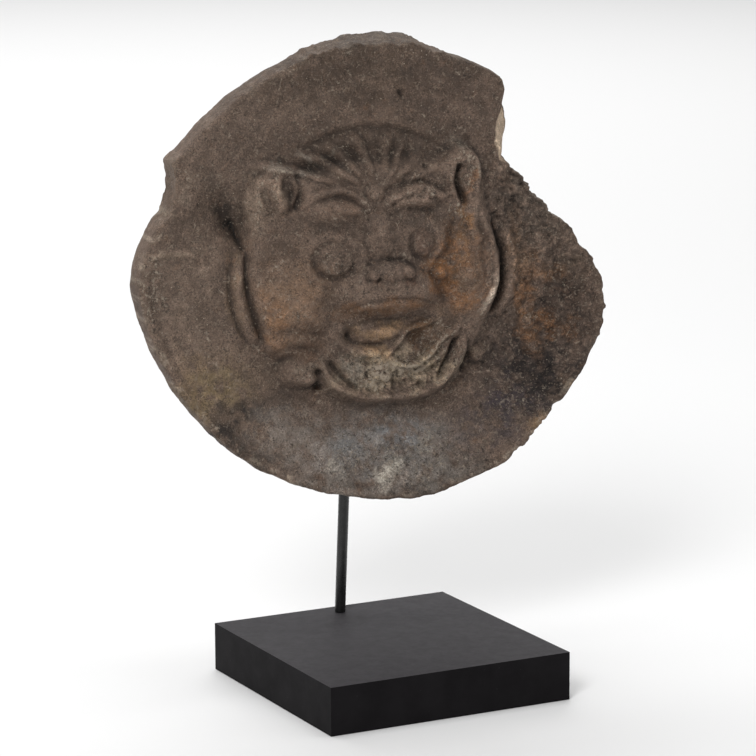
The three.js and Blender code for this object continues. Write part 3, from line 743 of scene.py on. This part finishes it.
FINE = blurred(RELIEF, 0.8)
WIDE = blurred(RELIEF, 3.0)
BROAD = blurred(RELIEF, 7.0)
# painted shade: how far each place sits below its blurred surroundings, at three widths, for darkening the
# colour of hollows and creases
HOLLOW_SHADE_AMOUNT = (0.70 * np.clip((FINE - RELIEF) / 0.45, 0, 1) + 0.50 * np.clip((WIDE - RELIEF) / 2.4, 0, 1)
           + 0.35 * np.clip((BROAD - WIDE) / 3.0, 0, 1))
# painted highlight: how far each place stands above its surroundings, for lightening the colour of crests;
# it also spreads lime onto them
CRESTS = np.clip((RELIEF - WIDE) / 1.8, 0, 1)


def paint_tile(mesh, x, y, ring_of):
    """Colours every vertex: patches, painted shade in the hollows, painted highlights on the high places,
    raw breaks.
    """
    face_rings = MASK_RINGS + FLANGE_RINGS
    on_face = ring_of < face_rings
    on_wall = ~on_face & (ring_of < face_rings + WALL_RINGS)
    on_back = ~on_face & ~on_wall
    colour = np.tile(CLAY, (len(x), 1))
    wander_x = x + 4 * layered(x, y, 13, 71, 5, 0.75)
    wander_y = y + 4 * layered(x, y, 13, 81, 5, 0.75)
    mottle = np.clip(0.85 + 0.8 * layered(x, y, 5, 95, 4, 0.8), 0, 1.15)
    for cx, cy, rx, ry, turn, strength, tint, ragged in PATCHES:
        px, py = wander_x * ragged + x * (1 - ragged), wander_y * ragged + y * (1 - ragged)
        share = strength * smooth_step(1.35 - spot(px, py, cx, cy, rx, ry, turn))
        share = share * (1 - ragged + ragged * mottle) * np.where(on_back, 0.25, 1.0)
        share = np.clip(share, 0, 1)[:, None]
        colour = colour * (1 - share) + tint * share
    hollow_shade = np.where(on_face, sample(HOLLOW_SHADE_AMOUNT, x, y), 0.0)
    crest = np.where(on_face, sample(CRESTS, x, y), 0.0)
    angles = np.degrees(np.arctan2(y, x)) % 360
    raw = RAW_SHARE * (broken_share(angles) * on_wall)[:, None]
    off_fresh = np.abs(angles - FRESH_BREAK_ANGLE) / FRESH_BREAK_HALF_WIDTH
    fresh = (smooth_step(1.4 - off_fresh) * on_wall)[:, None]
    colour = colour * (1 - raw) + RAW_CLAY * raw
    colour = colour * (1 - fresh) + FRESH_CLAY * fresh
    reach = np.hypot(x, y)
    wiped = layered(np.radians(angles) * 5.0, reach / 2.6, 1.0, 91, 3, 0.7) * smooth_step((reach - 60) / 14)
    # painted shade darkens the hollows and painted highlights lighten the crests, along with old wiping
    # streaks
    shade = 1 - HOLLOW_PAINTED_SHADE * hollow_shade + CREST_PAINTED_HIGHLIGHT * crest + WIPE_STREAKS * wiped
    colour = colour * shade[:, None]
    near_edge = on_wall | (on_face & (ring_of > face_rings - 3))
    chips = smooth_step((layered(x, y, 5, 97, 4, 0.8) - 0.35) / 0.3) * near_edge
    chipped = np.zeros(len(x), bool)
    for middle, half_width in CHIPPED_RIM:
        chipped |= np.abs(angles - middle) < half_width
    chips = (0.5 * chips * np.where(chipped, 1.0, 0.15))[:, None]
    colour = colour * (1 - chips) + PALE_CHIP * chips
    lime = np.zeros(len(x))
    for cx, cy, rx, ry, turn, amount in LIME:
        lime = np.maximum(lime, amount * smooth_step(1.4 - spot(wander_x, wander_y, cx, cy, rx, ry, turn)))
    lime = lime * on_face + 0.3 * crest
    ends = np.zeros(2)
    paint(mesh, "tint", np.vstack([np.clip(colour, 0.004, 0.9), np.tile(CLAY, (2, 1))]))
    paint(mesh, "lime", np.append(lime, ends))
    paint(mesh, "fresh", np.append(fresh[:, 0], ends))
    paint(mesh, "grit", np.append(np.clip(1.3 * sample(ROUGHNESS, x, y), 0, 1), ends))


class Nodes:
    """Short hand for building one material's node tree."""

    def __init__(self, name):
        self.material = bpy.data.materials.new(name)
        self.material.use_nodes = True
        self.tree = self.material.node_tree
        self.shader = self.tree.nodes["Principled BSDF"]
        self.place = self.add("ShaderNodeTexCoord").outputs["Object"]

    def add(self, kind, **settings):
        node = self.tree.nodes.new(kind)
        for key, value in settings.items():
            setattr(node, key, value)
        return node

    def feed(self, socket, value):
        if isinstance(value, bpy.types.NodeSocket):
            self.tree.links.new(value, socket)
        else:
            socket.default_value = value

    def noise(self, size, detail=3.0, rough=0.55, output="Fac"):
        """Noise from 0 to 1 with lumps of about size millimetres."""
        node = self.add("ShaderNodeTexNoise")
        self.feed(node.inputs["Vector"], self.place)
        node.inputs["Scale"].default_value = 1 / (size * MM)
        node.inputs["Detail"].default_value = detail
        node.inputs["Roughness"].default_value = rough
        return node.outputs[output]

    def cells(self, size, feature="F1", output="Distance", place=None):
        node = self.add("ShaderNodeTexVoronoi", feature=feature)
        self.feed(node.inputs["Vector"], place or self.place)
        node.inputs["Scale"].default_value = 1 / (size * MM)
        return node.outputs[output]

    def warped(self, size, amount):
        """The place pushed about by up to amount millimetres, in swirls of about size."""
        push = self.add("ShaderNodeVectorMath", operation="MULTIPLY_ADD")
        self.feed(push.inputs[0], self.noise(size, 3.0, 0.6, "Color"))
        push.inputs[1].default_value = (2 * amount * MM,) * 3
        self.feed(push.inputs[2], self.place)
        return push.outputs[0]

    def maths(self, operation, a, b=0.0, c=0.0):
        node = self.add("ShaderNodeMath", operation=operation)
        for socket, value in zip(node.inputs, (a, b, c)):
            self.feed(socket, value)
        return node.outputs[0]

    def span(self, value, low, high, out_low=0.0, out_high=1.0):
        """The value's place between low and high, spread between the two outputs."""
        node = self.add("ShaderNodeMapRange", interpolation_type="SMOOTHSTEP")
        for socket, number in zip(node.inputs, (value, low, high, out_low, out_high)):
            self.feed(socket, number)
        return node.outputs["Result"]

    def attribute(self, name, output="Fac"):
        return self.add("ShaderNodeAttribute", attribute_name=name).outputs[output]

    def mix(self, share, first, second, blend="MIX"):
        node = self.add("ShaderNodeMix", data_type="RGBA", blend_type=blend)
        self.feed(node.inputs["Factor"], share)
        self.feed(node.inputs["A"], first)
        self.feed(node.inputs["B"], second)
        return node.outputs["Result"]

    def bump(self, height, distance, strength, below=None):
        node = self.add("ShaderNodeBump")
        self.feed(node.inputs["Height"], height)
        node.inputs["Distance"].default_value = distance * MM
        node.inputs["Strength"].default_value = strength
        if below is not None:
            self.feed(node.inputs["Normal"], below)
        return node.outputs["Normal"]


def rgba(colour):
    return (*[float(c) for c in colour], 1.0)


def clay_material():
    """Old fired clay: cloudy tone, sandy grain, rust, soot, lime, scratches and pits."""
    n = Nodes("fired_clay")
    tint = n.attribute("tint", "Color")
    lime = n.attribute("lime")
    fresh = n.attribute("fresh")
    grit = n.attribute("grit")
    cloud = n.span(n.noise(20, 4), 0.32, 0.68, 0.86, 1.14)
    blotch = n.span(n.noise(4.2, 5, 0.7), 0.30, 0.70, 0.78, 1.22)
    grain = n.span(n.noise(0.7, 4, 0.85), 0.34, 0.66, 0.74, 1.26)
    sandy = n.span(n.noise(4, 4, 0.6), 0.38, 0.62, 0.25, 1.0)
    sand = n.span(n.cells(0.55, output="Color"), 0.1, 0.9, -0.38, 0.38)
    sand = n.maths("MULTIPLY_ADD", sand, sandy, 1.0)
    coarse = n.span(n.noise(2.0, 5, 0.75), 0.30, 0.70, -0.5, 0.5)
    coarse = n.maths("MULTIPLY_ADD", coarse, grit, 1.0)
    tone = n.maths("MULTIPLY", n.maths("MULTIPLY", cloud, blotch), n.maths("MULTIPLY", grain, sand))
    tone = n.maths("MULTIPLY", tone, coarse)
    grey = n.add("ShaderNodeCombineColor")
    for socket in grey.inputs:
        n.feed(socket, tone)
    colour = n.mix(1.0, tint, grey.outputs[0], "MULTIPLY")
    old = n.maths("SUBTRACT", 1.0, fresh)
    # pale and dark flecks, then rust and soot, all kept off the fresh break
    fleck = n.maths("MULTIPLY", n.span(n.noise(1.5, 3, 0.6), 0.59, 0.62, 0.0, 0.40), old)
    colour = n.mix(fleck, colour, rgba(srgb(134, 120, 106)))
    dark_fleck = n.maths("MULTIPLY", n.span(n.noise(2.1, 4, 0.65), 0.60, 0.63, 0.0, 0.50), old)
    colour = n.mix(dark_fleck, colour, rgba(srgb(54, 45, 39)))
    rust = n.maths("MULTIPLY", n.span(n.noise(8, 6, 0.75), 0.58, 0.72, 0.0, 0.45), old)
    colour = n.mix(rust, colour, rgba(srgb(104, 76, 56)))
    soot = n.maths("MULTIPLY", n.span(n.noise(6, 6, 0.75), 0.58, 0.74, 0.0, 0.5), old)
    colour = n.mix(soot, colour, rgba(srgb(56, 49, 44)))
    # pale lime: crumbs where it lies thick, thin smears and broken scratches everywhere
    crumbs = n.span(n.maths("MULTIPLY_ADD", lime, 0.17, n.noise(1.7, 6, 0.78)), 0.64, 0.74, 0.0, 0.85)
    smear = n.maths("MULTIPLY", n.span(n.noise(3.2, 6, 0.8), 0.565, 0.66, 0.0, 0.6),
                    n.span(n.noise(15, 3), 0.44, 0.62))
    long_lines = n.cells(23, "DISTANCE_TO_EDGE", "Distance", n.warped(16, 2.5))
    scratch = n.maths("MULTIPLY", n.span(long_lines, 0.0, 0.012, 0.4, 0.0),
                      n.span(n.noise(4, 4), 0.57, 0.63))
    short_lines = n.cells(11, "DISTANCE_TO_EDGE", "Distance", n.warped(5, 3))
    in_lime = n.maths("MULTIPLY", n.span(n.noise(9, 3), 0.50, 0.58), n.span(lime, 0.35, 0.55))
    crack = n.maths("MULTIPLY", n.span(short_lines, 0.0, 0.022, 0.8, 0.0), in_lime)
    pale = n.mix(n.noise(3, 3), rgba(srgb(146, 132, 116)), rgba(srgb(178, 165, 148)))
    specks = n.maths("MULTIPLY", n.span(n.cells(2.7), 0.06, 0.14, 0.8, 0.0),
                     n.span(n.noise(6, 5), 0.50, 0.62))
    for share in (smear, scratch, specks, crumbs):
        colour = n.mix(share, colour, pale)
    holes = n.maths("MULTIPLY", n.span(n.cells(3.7), 0.06, 0.13, 0.7, 0.0), old)
    colour = n.mix(holes, colour, rgba(srgb(50, 42, 37)))
    # dark pits, thicker among the lime
    pit_depth = n.maths("MULTIPLY_ADD", lime, 0.06, n.noise(1.9, 5, 0.7))
    open_pit = n.maths("SUBTRACT", n.span(pit_depth, 0.60, 0.70), n.maths("MULTIPLY", crumbs, 0.6))
    pit = n.span(open_pit, 0.1, 0.8, 0.0, 0.75)
    colour = n.mix(n.maths("MULTIPLY", n.maths("MAXIMUM", pit, crack), old), colour, rgba(srgb(46, 39, 34)))
    n.feed(n.shader.inputs["Base Color"], colour)
    n.feed(n.shader.inputs["Roughness"], n.span(n.noise(3, 4), 0.3, 0.7, 0.66, 0.92))
    n.shader.inputs["Specular IOR Level"].default_value = 0.35
    lumps = n.bump(n.noise(4.5, 5, 0.65), 1.0, 0.6)
    gritty = n.bump(n.noise(1.1, 4, 0.7), 0.60, 0.9, lumps)
    chipped = n.maths("SUBTRACT", n.maths("MULTIPLY_ADD", fleck, 0.6, crumbs),
                      n.maths("MAXIMUM", pit, dark_fleck))
    layers = n.bump(n.maths("MULTIPLY_ADD", scratch, 0.4, chipped), 0.30, 0.8, gritty)
    n.feed(n.shader.inputs["Normal"], layers)
    return n.material


def paint_material():
    """Satin black paint on board, with a faint nap, dust specks, and a painted sheen making its top
    lighter.
    """
    n = Nodes("black_paint")
    dust = n.maths("MULTIPLY", n.span(n.cells(2.4), 0.03, 0.07, 1.0, 0.0),
                   n.span(n.noise(12, 3), 0.5, 0.62))
    colour = n.mix(n.span(n.noise(14, 4), 0.3, 0.7),
                   (0.0088, 0.0080, 0.0088, 1), (0.0120, 0.0110, 0.0120, 1))
    colour = n.mix(n.maths("MULTIPLY", dust, 0.35), colour, (0.22, 0.22, 0.22, 1))
    facing = n.add("ShaderNodeSeparateXYZ")
    n.feed(facing.inputs[0], n.add("ShaderNodeNewGeometry").outputs["Normal"])
    # painted sheen: faces turned up are made lighter, standing for the light glancing off the top
    top_sheen = n.maths("MULTIPLY", n.span(facing.outputs["Z"], 0.6, 0.95),
                      n.span(n.noise(3, 5, 0.7), 0.3, 0.7, 0.75, 1.0))
    colour = n.mix(top_sheen, colour, (0.066, 0.063, 0.067, 1))
    n.feed(n.shader.inputs["Base Color"], colour)
    n.feed(n.shader.inputs["Roughness"], n.span(n.noise(8, 5), 0.3, 0.7, 0.42, 0.50))
    n.shader.inputs["Specular IOR Level"].default_value = 0.03
    n.feed(n.shader.inputs["Normal"], n.bump(n.noise(0.7, 2), 0.05, 0.5))
    return n.material


def steel_material():
    """Black steel rod, slightly glossy."""
    n = Nodes("black_steel")
    colour = n.mix(n.span(n.noise(6, 4), 0.35, 0.65), (0.004, 0.004, 0.004, 1), (0.010, 0.010, 0.010, 1))
    n.feed(n.shader.inputs["Base Color"], colour)
    n.feed(n.shader.inputs["Roughness"], n.span(n.noise(4, 3), 0.3, 0.7, 0.22, 0.34))
    n.shader.inputs["Specular IOR Level"].default_value = 0.5
    n.feed(n.shader.inputs["Normal"], n.bump(n.noise(1.1, 2), 0.03, 0.4))
    return n.material


tile = tile_object()
bpy.context.scene.collection.objects.link(tile)
tile.data.materials.append(clay_material())
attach(tile, "root")
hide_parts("tile")

for node, material in (("support_rod", steel_material()), ("base_block", paint_material())):
    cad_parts[node].data.materials.clear()
    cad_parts[node].data.materials.append(material)

# ---------------------------------------------------------------- floor, light, camera
def add_floor():
    bpy.ops.mesh.primitive_plane_add(size=12.0, location=(0, 0, BASE_LOW.z - 0.0002))
    floor = bpy.context.object
    floor.name = "floor"
    pale = Nodes("pale_floor")
    pale.shader.inputs["Base Color"].default_value = (0.80, 0.80, 0.80, 1)
    pale.shader.inputs["Roughness"].default_value = 0.7
    floor.data.materials.append(pale.material)


def add_area(name, location, target, size, power):
    light = bpy.data.lights.new(name, "AREA")
    light.energy = power
    light.shape = "RECTANGLE"
    light.size, light.size_y = size
    obj = bpy.data.objects.new(name, light)
    obj.location = location
    obj.rotation_euler = (Vector(target) - Vector(location)).to_track_quat("-Z", "Y").to_euler()
    bpy.context.scene.collection.objects.link(obj)


def add_world(strength):
    world = bpy.data.worlds.new("studio")
    world.use_nodes = True
    background = world.node_tree.nodes["Background"]
    background.inputs["Color"].default_value = (1, 1, 1, 1)
    background.inputs["Strength"].default_value = strength
    bpy.context.scene.world = world


VIEW_TURN = math.radians(-27.33)
VIEW_RISE = math.radians(11.37)
VIEW_ROLL = math.radians(-0.24)
VIEW_DISTANCE = 1.5704
VIEW_LENS = 166.4
VIEW_TARGET = Vector((-0.0042, 0.0022, 0.1427))


def add_camera():
    camera = bpy.data.objects.new("camera", bpy.data.cameras.new("camera"))
    back = Vector((math.sin(VIEW_TURN) * math.cos(VIEW_RISE),
                   -math.cos(VIEW_TURN) * math.cos(VIEW_RISE), math.sin(VIEW_RISE)))
    camera.location = VIEW_TARGET + back * VIEW_DISTANCE
    facing = (-back).to_track_quat("-Z", "Y").to_matrix()
    roll = Vector((0, 0, 1))
    camera.rotation_euler = (facing @ Matrix.Rotation(VIEW_ROLL, 3, roll)).to_euler()
    camera.data.lens = VIEW_LENS
    camera.data.sensor_width = 36.0
    bpy.context.scene.collection.objects.link(camera)
    bpy.context.scene.camera = camera


add_floor()
bpy.context.scene.view_settings.view_transform = "Standard"
add_area("key", (-1.85, -1.75, 2.0), (0, 0, 0.18), (0.9, 1.2), 57)
add_area("fill", (1.3, -0.8, 0.6), (0, 0, 0.15), (0.6, 0.8), 3)
add_area("top", (0.0, 0.1, 1.6), (0, 0, 0.15), (1.0, 0.8), 10)
add_area("backdrop", (0.6, 2.4, 2.2), (0.6, 2.2, 0.0), (3.5, 2.5), 80)
add_world(0.20)
add_camera()
